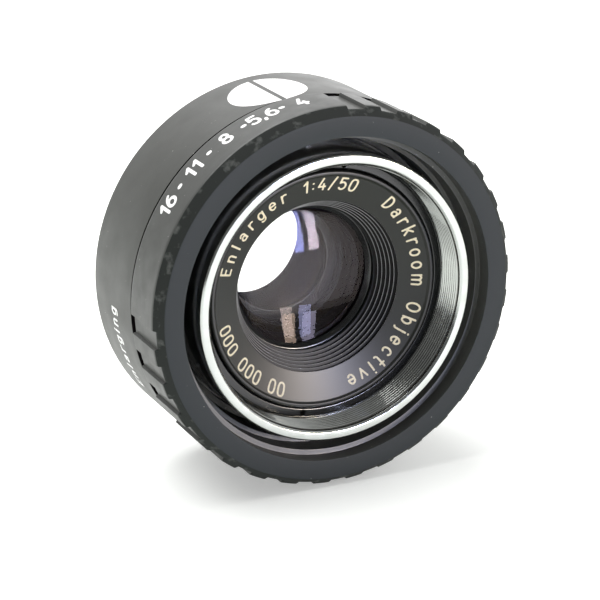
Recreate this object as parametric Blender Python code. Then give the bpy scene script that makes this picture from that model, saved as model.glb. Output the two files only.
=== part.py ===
"""Enlarger lens, 50 mm f/4, built as it comes apart on a bench.

Every piece is turned or cut about one lens axis. Depths are measured along
that axis from the front face of the aperture ring towards the rear mount.
Clock angles run clockwise as seen from the front, with zero straight up.
"""
import bpy
import bmesh
from math import atan2, cos, hypot, pi, radians, sin
from mathutils import Matrix, Vector

MM = 0.001

# ---- driving dimensions, in millimetres and degrees ------------------------
RING_R = 25.25             # outer radius of the aperture ring
BARREL_R = 24.95           # outer radius of the barrel
RING_LENGTH = 8.3          # aperture ring's rim, along the axis
REAR_WALL = 20.1           # depth of the inner face of the barrel's rear wall
MOUNT_RECESS = 21.4        # depth of the floor that the mount ring sits on
BARREL_END = 21.9          # depth of the seat against the lens board
MOUNT_R = 19.5             # M39 thread, major radius
MOUNT_END = 27.0           # depth of the rear end of the mount thread
FILTER_R = 19.05           # outer radius of the bright filter ring
FILTER_BORE_R = 17.75      # M35.5 filter thread
BODY_R = 17.0              # outer radius of the body tube
BODY_BORE_R = 15.15        # bore of the body tube round the iris
GLASS_R = 9.4              # radius of the two front elements
REAR_GLASS_R = 8.2         # radius of the two rear elements

PLAY = 0.1                 # gap between pieces that fit or rest on each other
OUTER_STEPS = 72           # facets round the outside
INNER_STEPS = 36           # facets round the inside pieces
SMALL_STEPS = 10           # facets round screws and pins

# aperture scale: where each end of the travel lies from the rest position
TURN_TO_WIDE_OPEN = -1.8
TURN_TO_CLOSED = 48.2
STOP_PITCH = 12.5          # ring angle for one stop
DETENTS = 9                # a click at each stop and half stop

# grip flutes
FLUTES = 25
FLUTE_FIRST = 3.0          # clock angle where the first flute starts
FLUTE_PITCH = 10.84
FLUTE_WIDTH = 5.7
FLUTE_DEPTH = 0.5          # below the ring's outer radius

# iris
BLADES = 5
PIVOT_R = 12.0             # radius of the circle of blade pivots
BLADE_INNER_R = 6.6
BLADE_OUTER_R = 11.0
BLADE_SPAN = 128.0         # angle that a blade's curved arm covers
BLADE_THICKNESS = 0.16
BLADE_STEP = 0.3           # depth from one blade to the next
PIN_R = 0.4
PIN_ARM = 3.6              # from pivot to drive pin
PIN_LEAD = 13.0            # drive pin leans outwards by this when wide open
SWING_OPEN = 1.4           # blade swing at the wide-open end
SWING_CLOSED = 24.0        # blade swing at the closed end
IRIS_FRONT = 16.9          # depth of the front face of the actuator ring
ACTUATOR_THICKNESS = 1.4
BLADE_FRONT = 18.6         # depth of the first blade
PLATE_FRONT = 20.2         # depth of the front face of the iris plate
PLATE_THICKNESS = 0.7

# click stop
CLICK_ANGLE = 90.0
CLICK_R = 21.2             # radius of the circle of detents
BALL_R = 0.7
BALL_BORE_R = 0.85
CLICK_BOSS_R = 1.6
SPRING_SEAT = 19.6         # depth of the closed end of the spring's bore
FLANGE_REAR = 12.6         # depth of the rear face of the hub flange

# screws
HUB_SCREW_ANGLES = (0.0, 120.0, 240.0)
HUB_SCREW_R = 20.4
BARREL_SCREW_ANGLES = (45.0, 165.0, 285.0)
BARREL_SCREW_R = 17.9
BARREL_SCREW_SINK = 20.7   # depth of the floor under the heads of the barrel screws
DRIVE_ANGLE = 200.0
DRIVE_DEPTH = IRIS_FRONT + ACTUATOR_THICKNESS / 2
DRIVE_SHANK_R = 0.5

# ---- derived ---------------------------------------------------------------
AXIS_HEIGHT = RING_R * cos(pi / OUTER_STEPS)
SWING_RATIO = (SWING_CLOSED - SWING_OPEN) / (TURN_TO_CLOSED - TURN_TO_WIDE_OPEN)
SWING_AT_REST = SWING_OPEN - TURN_TO_WIDE_OPEN * SWING_RATIO


# ---- shared tools ----------------------------------------------------------
def clear_scene():
    """Remove every object, so that the script can be run again."""
    for item in list(bpy.data.objects):
        bpy.data.objects.remove(item, do_unlink=True)


def finish(name, colour, roughness, metallic=0.0, transmission=0.0):
    """One Principled material."""
    material = bpy.data.materials.new(name)
    material.use_nodes = True
    shader = material.node_tree.nodes["Principled BSDF"]
    shader.inputs["Base Color"].default_value = (*colour, 1.0)
    shader.inputs["Roughness"].default_value = roughness
    shader.inputs["Metallic"].default_value = metallic
    shader.inputs["Transmission Weight"].default_value = transmission
    material.diffuse_color = (*colour, 1.0)
    return material


def on_circle(radius, angle, depth=0.0):
    """Point at a clock angle in degrees round the lens axis, in metres."""
    turn = radians(angle)
    return Vector((radius * sin(turn), depth, radius * cos(turn))) * MM


def add_object(name, bm, material, parent, smooth=True):
    """Turn a bmesh into a named object under its parent."""
    bmesh.ops.recalc_face_normals(bm, faces=bm.faces)
    mesh = bpy.data.meshes.new(name)
    bm.to_mesh(mesh)
    bm.free()
    if smooth:
        mesh.shade_smooth()
        mesh.set_sharp_from_angle(angle=radians(30))
    if material:
        mesh.materials.append(material)
    item = bpy.data.objects.new(name, mesh)
    bpy.context.collection.objects.link(item)
    item.parent = parent
    return item


def spin_outline(bm, outline, steps, closed=True):
    """Spin (depth, radius) points once round the local Y axis.

    The first point starts half a facet off the top, so that a facet and not
    a corner faces straight up and straight down.
    """
    start = pi / steps
    verts = [bm.verts.new(Vector((r * sin(start), d, r * cos(start))) * MM) for d, r in outline]
    edges = [bm.edges.new(pair) for pair in zip(verts, verts[1:])]
    if closed:
        edges.append(bm.edges.new((verts[-1], verts[0])))
    bmesh.ops.spin(bm, geom=verts + edges, cent=(0, 0, 0), axis=(0, 1, 0),
                   angle=2 * pi, steps=steps, use_merge=True)
    bmesh.ops.remove_doubles(bm, verts=bm.verts, dist=1e-8)


def turned(name, outline, material, parent, steps=INNER_STEPS, closed=True):
    """A turned piece. An open outline starts and ends on the axis."""
    bm = bmesh.new()
    spin_outline(bm, outline, steps, closed)
    return add_object(name, bm, material, parent)


def rod(bm, radius, start, end, steps=SMALL_STEPS):
    """Add a closed cylinder between two points given in metres."""
    along = end - start
    made = bmesh.ops.create_cone(bm, cap_ends=True, segments=steps, radius1=radius * MM,
                                 radius2=radius * MM, depth=along.length)
    turn = along.to_track_quat("Z", "Y").to_matrix().to_4x4()
    bmesh.ops.transform(bm, matrix=Matrix.Translation((start + end) / 2) @ turn,
                        verts=made["verts"])


def slab(bm, outline, front, back):
    """Add a flat plate between two depths; outline holds (x, z) in mm."""
    verts = [bm.verts.new(Vector((x, front, z)) * MM) for x, z in outline]
    face = bm.faces.new(verts)
    made = bmesh.ops.extrude_face_region(bm, geom=[face])
    moved = [v for v in made["geom"] if isinstance(v, bmesh.types.BMVert)]
    bmesh.ops.translate(bm, vec=(0, (back - front) * MM, 0), verts=moved)


def cutter(name, bm, parent):
    """A hidden cutting body."""
    item = add_object(name, bm, None, parent, smooth=False)
    item.hide_render = True
    item.display_type = "WIRE"
    return item


def combine(item, other, operation="DIFFERENCE"):
    """Cut or join one body with another."""
    step = item.modifiers.new(operation.lower(), "BOOLEAN")
    step.operation = operation
    step.object = other
    step.solver = "EXACT"


def sag(curve_r, height):
    """Depth of a spherical surface below its vertex at a given height."""
    return curve_r - (curve_r ** 2 - height ** 2) ** 0.5


def dome(vertex, curve_r, edge_r, points=3):
    """(depth, radius) points from the axis to the edge of a lens surface.

    A positive curve_r bulges to the front and a negative one to the rear.
    """
    side = 1 if curve_r > 0 else -1
    heights = [edge_r * i / points for i in range(points + 1)]
    return [(vertex + side * sag(abs(curve_r), h), h) for h in heights]


def lens_element(name, front, rear, edge_r, material, parent):
    """A lens between two (vertex depth, curve radius) surfaces."""
    face = dome(*front, edge_r)
    back = dome(*rear, edge_r)
    return turned(name, face + back[::-1], material, parent, closed=False)


# ---- outside pieces --------------------------------------------------------
def make_rear_barrel(material, parent):
    """Thin black shell with a recessed rear wall and a boss for the click spring."""
    front = RING_LENGTH + PLAY
    recess_r = MOUNT_R + PLAY
    outline = [(front, 23.4), (front, 24.75), (front + 0.2, BARREL_R),
               (BARREL_END - 0.4, BARREL_R), (BARREL_END, BARREL_R - 0.4),
               (BARREL_END, recess_r), (MOUNT_RECESS, recess_r),
               (MOUNT_RECESS, 16.05), (REAR_WALL, 16.05), (REAR_WALL, 23.4)]
    barrel = turned("rear_barrel", outline, material, parent, OUTER_STEPS)
    boss = bmesh.new()
    rod(boss, CLICK_BOSS_R, on_circle(CLICK_R, CLICK_ANGLE, FLANGE_REAR + 0.3),
        on_circle(CLICK_R, CLICK_ANGLE, REAR_WALL + 0.5), 20)
    combine(barrel, cutter("click_boss_form", boss, parent), "UNION")
    holes = bmesh.new()
    rod(holes, BALL_BORE_R, on_circle(CLICK_R, CLICK_ANGLE, FLANGE_REAR - 1.0),
        on_circle(CLICK_R, CLICK_ANGLE, SPRING_SEAT), 16)
    sinks = bmesh.new()
    for angle in BARREL_SCREW_ANGLES:
        rod(holes, 0.65, on_circle(BARREL_SCREW_R, angle, REAR_WALL - 1.0),
            on_circle(BARREL_SCREW_R, angle, BARREL_END + 1.0))
        rod(sinks, 1.1, on_circle(BARREL_SCREW_R, angle, BARREL_SCREW_SINK),
            on_circle(BARREL_SCREW_R, angle, BARREL_END + 1.0))
    combine(barrel, cutter("barrel_hole_tool", holes, parent))
    combine(barrel, cutter("barrel_sink_tool", sinks, parent))
    return barrel


def make_mount_ring(material, parent):
    """Bright M39 thread ring, which also clamps the barrel to the body."""
    front = MOUNT_RECESS + PLAY
    outline = [(front, 16.05), (front, 19.1), (front + 0.9, 19.1), (front + 1.3, MOUNT_R),
               (MOUNT_END - 0.5, MOUNT_R), (MOUNT_END, 19.0), (MOUNT_END, 16.6),
               (MOUNT_END - 0.55, 16.05)]
    return turned("mount_ring", outline, material, parent)


def make_filter_ring(material, parent):
    """Bright front ring with the filter thread, screwed on the body tube."""
    outline = [(0.6, 18.0), (0.6, 18.85), (0.8, FILTER_R), (10.0, FILTER_R),
               (10.0, BODY_R + PLAY), (7.6, BODY_R + PLAY), (7.6, FILTER_BORE_R),
               (0.85, FILTER_BORE_R)]
    return turned("filter_ring", outline, material, parent)


def make_front_retaining_ring(material, parent):
    """Black ring at the bottom of the filter thread, with spanner holes."""
    outline = [(5.2, 16.0), (5.0, 16.2), (5.0, 17.2), (5.2, 17.4), (7.4, 17.4), (7.4, 16.0)]
    ring = turned("front_retaining_ring", outline, material, parent)
    holes = bmesh.new()
    for angle in (-170.0, 10.0):
        rod(holes, 0.45, on_circle(16.7, angle, 4.0), on_circle(16.7, angle, 6.4))
    combine(ring, cutter("spanner_hole_tool", holes, parent))
    return ring


def make_name_ring(material, parent):
    """Dished ring for the lettering, with a stepped light baffle inside."""
    ridges = 5
    top = (6.4, 11.6)
    bottom = (10.0, 9.85)
    baffle = []
    for i in range(ridges):
        share = i / ridges
        depth = top[0] + (bottom[0] - top[0]) * share
        radius = top[1] + (bottom[1] - top[1]) * share
        baffle.append((depth, radius))
        baffle.append((depth + 0.62, radius - 0.02))
    outline = [(4.9, 15.9), (4.6, 15.7), (4.6, 15.4), (4.9, 15.2)] + baffle
    outline += [bottom, (10.4, 9.9), (10.4, 10.7), (7.4, 12.5), (7.4, 15.9)]
    return turned("name_ring", outline, material, parent)


def make_aperture_ring(material, parent):
    """Fluted grip ring: outer rim, stepped bore and rear web."""
    web = 11.5
    outline = [(0.0, 21.5), (0.0, 24.08), (1.3, RING_R), (RING_LENGTH - 0.15, RING_R),
               (RING_LENGTH, RING_R - 0.15), (RING_LENGTH, 23.1), (web, 23.1), (web, 19.3),
               (10.3, 19.3), (10.3, 20.2), (5.2, 20.2), (5.2, 20.8), (2.2, 20.8), (2.2, 21.5)]
    ring = turned("aperture_ring", outline, material, parent, OUTER_STEPS)
    flutes = bmesh.new()
    floor_r = RING_R - FLUTE_DEPTH
    for i in range(FLUTES):
        start = FLUTE_FIRST + i * FLUTE_PITCH
        corners = [(floor_r, start), (floor_r, start + FLUTE_WIDTH / 2),
                   (floor_r, start + FLUTE_WIDTH), (RING_R + 1, start + FLUTE_WIDTH),
                   (RING_R + 1, start)]
        section = [(r * sin(radians(a)), r * cos(radians(a))) for r, a in corners]
        slab(flutes, section, -1.0, RING_LENGTH + 1.0)
    combine(ring, cutter("flute_tool", flutes, parent))
    holes = bmesh.new()
    for angle in HUB_SCREW_ANGLES:
        rod(holes, 0.6, on_circle(HUB_SCREW_R, angle, 9.4), on_circle(HUB_SCREW_R, angle, 13.0))
    combine(ring, cutter("ring_hole_tool", holes, parent))
    return ring


# ---- body and cells --------------------------------------------------------
def make_lens_body(material, parent):
    """Body tube: front thread, iris chamber, drive slot and rear neck."""
    seat = PLATE_FRONT + PLATE_THICKNESS + PLAY / 2
    outline = [(7.7, BODY_BORE_R), (7.7, BODY_R), (19.15, BODY_R), (19.15, 18.9),
               (20.0, 18.9), (20.0, 15.9), (26.4, 15.9), (26.4, 12.1), (seat, 12.1),
               (seat, BODY_BORE_R)]
    body = turned("lens_body", outline, material, parent)
    tools = bmesh.new()
    margin = 3.5
    first = DRIVE_ANGLE + TURN_TO_WIDE_OPEN - margin
    last = DRIVE_ANGLE + TURN_TO_CLOSED + margin
    pieces = 12
    angles = [first + (last - first) * i / pieces for i in range(pieces + 1)]
    arc = [(BODY_BORE_R - 1.0, a) for a in angles] + [(BODY_R + 1.0, a) for a in reversed(angles)]
    section = [(r * sin(radians(a)), r * cos(radians(a))) for r, a in arc]
    half_width = DRIVE_SHANK_R + 0.2
    slab(tools, section, DRIVE_DEPTH - half_width, DRIVE_DEPTH + half_width)
    for angle in BARREL_SCREW_ANGLES:
        rod(tools, 0.6, on_circle(BARREL_SCREW_R, angle, 18.5),
            on_circle(BARREL_SCREW_R, angle, 21.0))
    combine(body, cutter("body_tool", tools, parent))
    return body


def make_front_cell(material, parent):
    """Threaded cell that holds the two front elements."""
    outline = [(7.6, 12.8), (7.6, 14.95), (16.7, 14.95), (16.7, 8.2), (16.4, 8.2),
               (16.4, GLASS_R + PLAY), (11.45, GLASS_R + PLAY), (11.45, 10.6), (10.6, 10.6),
               (10.6, 12.8)]
    return turned("front_cell", outline, material, parent)


def make_rear_cell(material, parent):
    """Cell that holds the cemented rear pair, screwed in from the rear."""
    outline = [(21.2, 7.0), (21.2, 12.0), (26.6, 12.0), (26.6, 9.1), (25.6, 9.1),
               (25.6, REAR_GLASS_R + PLAY), (21.7, REAR_GLASS_R + PLAY), (21.7, 7.0)]
    return turned("rear_cell", outline, material, parent)


def make_element_retaining_ring(material, parent):
    """Thin ring that holds the front element in its cell."""
    outline = [(10.7, 9.75), (10.7, 10.5), (11.35, 10.5), (11.35, 9.2)]
    return turned("element_retaining_ring", outline, material, parent)


def make_rear_retaining_ring(material, parent):
    """Ring behind the rear pair; its thin lip masks the edge of the rear glass."""
    outline = [(25.7, 7.9), (25.7, 9.0), (26.4, 9.0), (26.9, 6.2), (26.65, 6.2)]
    return turned("rear_retaining_ring", outline, material, parent)


def make_element_spacer(material, parent):
    """Ring that sets the air gap between the two front elements."""
    outline = [(12.95, 8.6), (12.95, GLASS_R), (13.6, GLASS_R), (13.6, 8.6)]
    return turned("element_spacer", outline, material, parent)


# ---- iris ------------------------------------------------------------------
def blade_point(radius, angle):
    """(z, x) of a point on a wide-open blade, from the pivot, in mm."""
    return radius * cos(radians(angle)) - PIVOT_R, radius * sin(radians(angle))


def blade_outer_radius(angle):
    """Outer edge of a blade: a lug over both pins, then the curved arm."""
    if angle < 8.0:
        return PIVOT_R + 1.0
    if angle < 21.0:
        return PIVOT_R + 1.9
    fall = min((angle - 21.0) / 7.0, 1.0)
    return PIVOT_R + 1.9 + (BLADE_OUTER_R - PIVOT_R - 1.9) * fall


def turn_in_plane(point, degrees_):
    """Turn (z, x) by a clock angle about the origin."""
    z, x = point
    a = radians(degrees_)
    return z * cos(a) - x * sin(a), z * sin(a) + x * cos(a)


def drive_pin_at(swing):
    """(z, x) of the drive pin from the pivot, for a blade swing in degrees."""
    lean = radians(90.0 - PIN_LEAD + swing)
    return PIN_ARM * cos(lean), PIN_ARM * sin(lean)


def blade_outline():
    """(z, x) points round a blade, from the pivot, wide open."""
    outer_angles = [-5, -2, 2, 6, 8.5, 13, 17, 20.5, 23, 26, 29, 38, 50, 62, 74, 86, 98, 110, 122]
    outer = [blade_point(blade_outer_radius(a), a) for a in outer_angles]
    tip_r = (BLADE_OUTER_R - BLADE_INNER_R) / 2
    mid_r = (BLADE_OUTER_R + BLADE_INNER_R) / 2
    tip_z, tip_x = blade_point(mid_r, BLADE_SPAN - 6.0)
    tip = []
    for i in range(1, 6):
        turn = radians(BLADE_SPAN - 6.0 + 180.0 * i / 6)
        tip.append((tip_z + tip_r * cos(turn), tip_x + tip_r * sin(turn)))
    inner = [blade_point(BLADE_INNER_R, a) for a in range(122, -5, -9)]
    return outer + tip + inner + [blade_point(BLADE_INNER_R, -5)]


def make_iris_blade(index, material, parent):
    """One blade with its pivot pin to the rear and drive pin to the front."""
    name = f"iris_blade_{index + 1}"
    clock = 360.0 * index / BLADES
    level = BLADE_FRONT + BLADE_STEP * index

    def place(point):
        z, x = turn_in_plane(turn_in_plane(point, SWING_AT_REST), clock)
        return x, z

    bm = bmesh.new()
    slab(bm, [place(p) for p in blade_outline()], level, level + BLADE_THICKNESS)
    blade = add_object(name, bm, material, parent, smooth=False)
    blade.location = on_circle(PIVOT_R, clock)
    pins = bmesh.new()
    middle = level + BLADE_THICKNESS / 2
    rear = PLATE_FRONT + PLATE_THICKNESS - 0.1
    rod(pins, PIN_R, Vector((0, middle, 0)) * MM, Vector((0, rear, 0)) * MM)
    x, z = place(drive_pin_at(0.0))
    rod(pins, PIN_R, Vector((x, IRIS_FRONT + 0.2, z)) * MM, Vector((x, middle, z)) * MM)
    form = cutter(name + "_pins", pins, parent)
    form.location = blade.location
    combine(blade, form, "UNION")
    return blade


def slot_centre(turn):
    """(z, x) of a slot's centre line in the actuator at rest.

    The drive pin swings with its blade at a constant ratio to the ring's
    turn; turned back by that angle, its path is the slot.
    """
    z, x = drive_pin_at(SWING_AT_REST + SWING_RATIO * turn)
    return turn_in_plane((z + PIVOT_R, x), -turn)


def slot_outline(clock):
    """(x, z) points round one slot, with round ends."""
    half = PIN_R + 0.12
    points = 7
    first = TURN_TO_WIDE_OPEN - 0.6
    last = TURN_TO_CLOSED + 0.6
    path = [slot_centre(first + (last - first) * i / points) for i in range(points + 1)]
    left = []
    right = []
    for i, (z, x) in enumerate(path):
        before = path[max(i - 1, 0)]
        after = path[min(i + 1, points)]
        dz, dx = after[0] - before[0], after[1] - before[1]
        size = hypot(dz, dx)
        left.append((z - dx / size * half, x + dz / size * half))
        right.append((z + dx / size * half, x - dz / size * half))
    dz, dx = path[-1][0] - path[-2][0], path[-1][1] - path[-2][1]
    heading = atan2(dx, dz)
    far_end = []
    for i in range(1, 4):
        turn = heading + pi / 2 - pi * i / 4
        far_end.append((path[-1][0] + half * cos(turn), path[-1][1] + half * sin(turn)))
    dz, dx = path[0][0] - path[1][0], path[0][1] - path[1][1]
    heading = atan2(dx, dz)
    near_end = []
    for i in range(1, 4):
        turn = heading + pi / 2 - pi * i / 4
        near_end.append((path[0][0] + half * cos(turn), path[0][1] + half * sin(turn)))
    loop = left + far_end + right[::-1] + near_end
    turned_loop = [turn_in_plane(p, clock) for p in loop]
    return [(x, z) for z, x in turned_loop]


def make_iris_actuator(material, parent):
    """Slotted ring that swings the blades, driven by the drive screw."""
    back = IRIS_FRONT + ACTUATOR_THICKNESS
    outline = [(IRIS_FRONT, 7.0), (IRIS_FRONT, 15.0), (back, 15.0), (back, 7.0)]
    ring = turned("iris_actuator_ring", outline, material, parent)
    tools = bmesh.new()
    for i in range(BLADES):
        slab(tools, slot_outline(360.0 * i / BLADES), IRIS_FRONT - 1, back + 1)
    rod(tools, DRIVE_SHANK_R + 0.08, on_circle(13.95, DRIVE_ANGLE, DRIVE_DEPTH),
        on_circle(17.0, DRIVE_ANGLE, DRIVE_DEPTH))
    combine(ring, cutter("actuator_tool", tools, parent))
    return ring


def make_iris_plate(material, parent):
    """Fixed plate with a hole for each blade's pivot pin."""
    back = PLATE_FRONT + PLATE_THICKNESS
    outline = [(PLATE_FRONT, 6.5), (PLATE_FRONT, 15.0), (back, 15.0), (back, 6.5)]
    plate = turned("iris_base_plate", outline, material, parent)
    holes = bmesh.new()
    for i in range(BLADES):
        clock = 360.0 * i / BLADES
        rod(holes, PIN_R + 0.08, on_circle(PIVOT_R, clock, PLATE_FRONT - 1),
            on_circle(PIVOT_R, clock, back + 1), 12)
    combine(plate, cutter("plate_hole_tool", holes, parent))
    return plate


# ---- aperture drive and click stop -----------------------------------------
def make_aperture_hub(material, parent):
    """Metal hub that runs on the body tube, with the row of detents."""
    front = 11.6
    outline = [(front, BODY_R + PLAY), (front, 22.7), (FLANGE_REAR, 22.7), (FLANGE_REAR, 19.0),
               (18.95, 19.0), (18.95, BODY_R + PLAY)]
    hub = turned("aperture_hub", outline, material, parent)
    tools = bmesh.new()
    for i in range(DETENTS):
        clock = CLICK_ANGLE - TURN_TO_WIDE_OPEN - i * STOP_PITCH / 2
        made = bmesh.ops.create_cone(tools, cap_ends=True, segments=10, radius1=0.6 * MM,
                                     radius2=0.05 * MM, depth=0.7 * MM)
        turn = Matrix.Rotation(radians(90), 4, "X")
        spot = Matrix.Translation(on_circle(CLICK_R, clock, FLANGE_REAR))
        bmesh.ops.transform(tools, matrix=spot @ turn, verts=made["verts"])
    for angle in HUB_SCREW_ANGLES:
        rod(tools, 0.6, on_circle(HUB_SCREW_R, angle, front - 1),
            on_circle(HUB_SCREW_R, angle, FLANGE_REAR + 1))
    rod(tools, DRIVE_SHANK_R + 0.08, on_circle(16.0, DRIVE_ANGLE, DRIVE_DEPTH),
        on_circle(20.0, DRIVE_ANGLE, DRIVE_DEPTH))
    combine(hub, cutter("hub_tool", tools, parent))
    return hub


def make_screw(name, shank_r, head_r, tip, head, top, material, parent):
    """A round-headed screw: tip, underside of the head, top of the head."""
    along = (top - tip).normalized()
    length = (top - tip).length / MM
    neck = (head - tip).length / MM
    outline = [(0.0, 0.0), (0.0, shank_r), (neck, shank_r), (neck, head_r),
               (length - 0.15, head_r), (length, head_r - 0.15), (length, 0.0)]
    bm = bmesh.new()
    spin_outline(bm, outline, SMALL_STEPS, closed=False)
    turn = along.to_track_quat("Y", "Z").to_matrix().to_4x4()
    bmesh.ops.transform(bm, matrix=turn, verts=bm.verts)
    screw = add_object(name, bm, material, parent)
    screw.location = tip
    return screw


def make_drive_screw(material, parent):
    """Joins the hub to the iris actuator through the slot in the body."""
    return make_screw("drive_screw", DRIVE_SHANK_R, 0.95,
                      on_circle(14.1, DRIVE_ANGLE, DRIVE_DEPTH),
                      on_circle(19.1, DRIVE_ANGLE, DRIVE_DEPTH),
                      on_circle(19.9, DRIVE_ANGLE, DRIVE_DEPTH), material, parent)


def make_hub_screws(material, parent):
    """Three screws that hold the hub to the web of the aperture ring."""
    for number, angle in enumerate(HUB_SCREW_ANGLES, start=1):
        make_screw(f"hub_screw_{number}", 0.45, 0.85, on_circle(HUB_SCREW_R, angle, 9.7),
                   on_circle(HUB_SCREW_R, angle, FLANGE_REAR + 0.1),
                   on_circle(HUB_SCREW_R, angle, FLANGE_REAR + 0.7), material, parent)


def make_barrel_screws(material, parent):
    """Three screws that hold the barrel to the flange of the body."""
    for number, angle in enumerate(BARREL_SCREW_ANGLES, start=1):
        make_screw(f"barrel_screw_{number}", 0.45, 0.95,
                   on_circle(BARREL_SCREW_R, angle, 19.3),
                   on_circle(BARREL_SCREW_R, angle, BARREL_SCREW_SINK + PLAY),
                   on_circle(BARREL_SCREW_R, angle, BARREL_SCREW_SINK + 0.6), material, parent)


def make_click_ball(material, parent):
    """Ball of the click stop, lifted just clear of the detents."""
    bm = bmesh.new()
    bmesh.ops.create_uvsphere(bm, u_segments=12, v_segments=8, radius=BALL_R * MM)
    ball = add_object("click_ball", bm, material, parent)
    ball.location = on_circle(CLICK_R, CLICK_ANGLE, FLANGE_REAR + 0.1 + BALL_R)
    return ball


def make_click_spring(material, parent):
    """Coil spring behind the ball."""
    coil_r = 0.6
    wire_r = 0.14
    start = FLANGE_REAR + 0.2 + 2 * BALL_R + wire_r
    end = SPRING_SEAT - PLAY - wire_r
    turns = 6
    per_turn = 9
    curve = bpy.data.curves.new("click_spring", "CURVE")
    curve.dimensions = "3D"
    curve.bevel_depth = wire_r * MM
    curve.bevel_resolution = 0
    curve.use_fill_caps = True
    spline = curve.splines.new("POLY")
    count = turns * per_turn + 1
    spline.points.add(count - 1)
    for i, point in enumerate(spline.points):
        angle = 2 * pi * i / per_turn
        depth = start + (end - start) * i / (count - 1)
        point.co = (coil_r * sin(angle) * MM, depth * MM, coil_r * cos(angle) * MM, 1.0)
    curve.materials.append(material)
    spring = bpy.data.objects.new("click_spring", curve)
    bpy.context.collection.objects.link(spring)
    spring.parent = parent
    spring.location = on_circle(CLICK_R, CLICK_ANGLE)
    return spring


def main():
    """Build every piece about one axis."""
    clear_scene()
    lens_axis = bpy.data.objects.new("lens_axis", None)
    bpy.context.collection.objects.link(lens_axis)
    lens_axis.location = Vector((0.0, -MOUNT_END / 2, AXIS_HEIGHT)) * MM
    aperture_axis = bpy.data.objects.new("aperture_axis", None)
    bpy.context.collection.objects.link(aperture_axis)
    aperture_axis.parent = lens_axis

    plastic = finish("barrel_plastic", (0.045, 0.047, 0.043), 0.42)
    ring_plastic = finish("ring_plastic", (0.04, 0.043, 0.041), 0.5)
    bright = finish("bright_chrome", (0.72, 0.73, 0.7), 0.22, 1.0)
    mount_metal = finish("mount_chrome", (0.66, 0.67, 0.64), 0.25, 1.0)
    black = finish("black_anodised", (0.02, 0.021, 0.019), 0.38)
    name_black = finish("name_ring_black", (0.028, 0.029, 0.025), 0.45)
    matt = finish("cell_black", (0.01, 0.01, 0.01), 0.7)
    brass = finish("brass", (0.6, 0.44, 0.19), 0.35, 1.0)
    blade_steel = finish("blade_steel", (0.05, 0.05, 0.055), 0.5, 1.0)
    steel = finish("steel", (0.55, 0.55, 0.55), 0.3, 1.0)
    glass = finish("coated_glass", (0.9, 0.88, 0.95), 0.0, 0.0, 1.0)

    make_rear_barrel(plastic, lens_axis)
    make_mount_ring(mount_metal, lens_axis)
    make_filter_ring(bright, lens_axis)
    make_front_retaining_ring(black, lens_axis)
    make_name_ring(name_black, lens_axis)
    make_lens_body(black.copy(), lens_axis)
    make_front_cell(matt, lens_axis)
    make_rear_cell(matt.copy(), lens_axis)
    make_element_retaining_ring(matt.copy(), lens_axis)
    make_rear_retaining_ring(matt.copy(), lens_axis)
    make_element_spacer(matt.copy(), lens_axis)

    lens_element("front_element", (9.75, 24.0), (13.1, -180.0), GLASS_R, glass, lens_axis)
    lens_element("second_element", (14.25, -80.0), (15.25, 48.0), GLASS_R, glass.copy(), lens_axis)
    lens_element("rear_inner_element", (22.6, -60.0), (23.5, 22.0), REAR_GLASS_R,
                 glass.copy(), lens_axis)
    lens_element("rear_outer_element", (23.6, 22.0), (26.6, -30.0), REAR_GLASS_R,
                 glass.copy(), lens_axis)

    make_iris_plate(brass, lens_axis)
    for index in range(BLADES):
        make_iris_blade(index, blade_steel.copy(), lens_axis)

    make_aperture_ring(ring_plastic, aperture_axis)
    make_aperture_hub(brass.copy(), aperture_axis)
    make_iris_actuator(brass.copy(), aperture_axis)
    make_drive_screw(steel, aperture_axis)
    make_hub_screws(steel.copy(), aperture_axis)
    make_barrel_screws(steel.copy(), lens_axis)
    make_click_ball(steel.copy(), lens_axis)
    make_click_spring(steel.copy(), lens_axis)


main()
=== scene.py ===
"""Looks of a 50 mm enlarger lens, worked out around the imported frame.

Depths are measured along the lens axis from the front face of the aperture
ring towards the rear mount. Clock angles run clockwise as seen from the front,
with zero straight up. Lengths are in metres unless a name ends in _MM.
"""

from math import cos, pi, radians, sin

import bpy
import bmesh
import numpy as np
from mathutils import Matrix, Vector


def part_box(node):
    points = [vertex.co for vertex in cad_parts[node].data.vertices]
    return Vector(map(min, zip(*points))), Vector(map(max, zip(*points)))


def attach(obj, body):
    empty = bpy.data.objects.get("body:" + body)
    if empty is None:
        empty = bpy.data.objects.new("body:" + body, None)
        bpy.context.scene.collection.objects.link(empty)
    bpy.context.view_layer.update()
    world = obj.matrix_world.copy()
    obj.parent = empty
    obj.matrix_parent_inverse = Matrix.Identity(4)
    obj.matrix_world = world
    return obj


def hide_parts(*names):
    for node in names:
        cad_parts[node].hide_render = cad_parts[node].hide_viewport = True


bl_info = {
    "name": "Enlarger Lens",
    "version": (1, 0, 0),
    "blender": (4, 5, 0),
    "location": "View3D > Sidebar > Enlarger Lens",
    "description": "Builds the visible surfaces, lettering and glass of an enlarger lens",
    "category": "Object",
}

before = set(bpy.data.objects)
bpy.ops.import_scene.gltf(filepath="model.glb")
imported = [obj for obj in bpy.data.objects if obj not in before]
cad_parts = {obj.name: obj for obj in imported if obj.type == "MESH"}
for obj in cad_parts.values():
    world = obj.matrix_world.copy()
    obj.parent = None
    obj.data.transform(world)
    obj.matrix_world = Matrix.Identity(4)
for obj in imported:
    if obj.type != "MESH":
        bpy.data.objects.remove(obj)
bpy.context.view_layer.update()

MM = 0.001
TAB = "Enlarger Lens"

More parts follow.
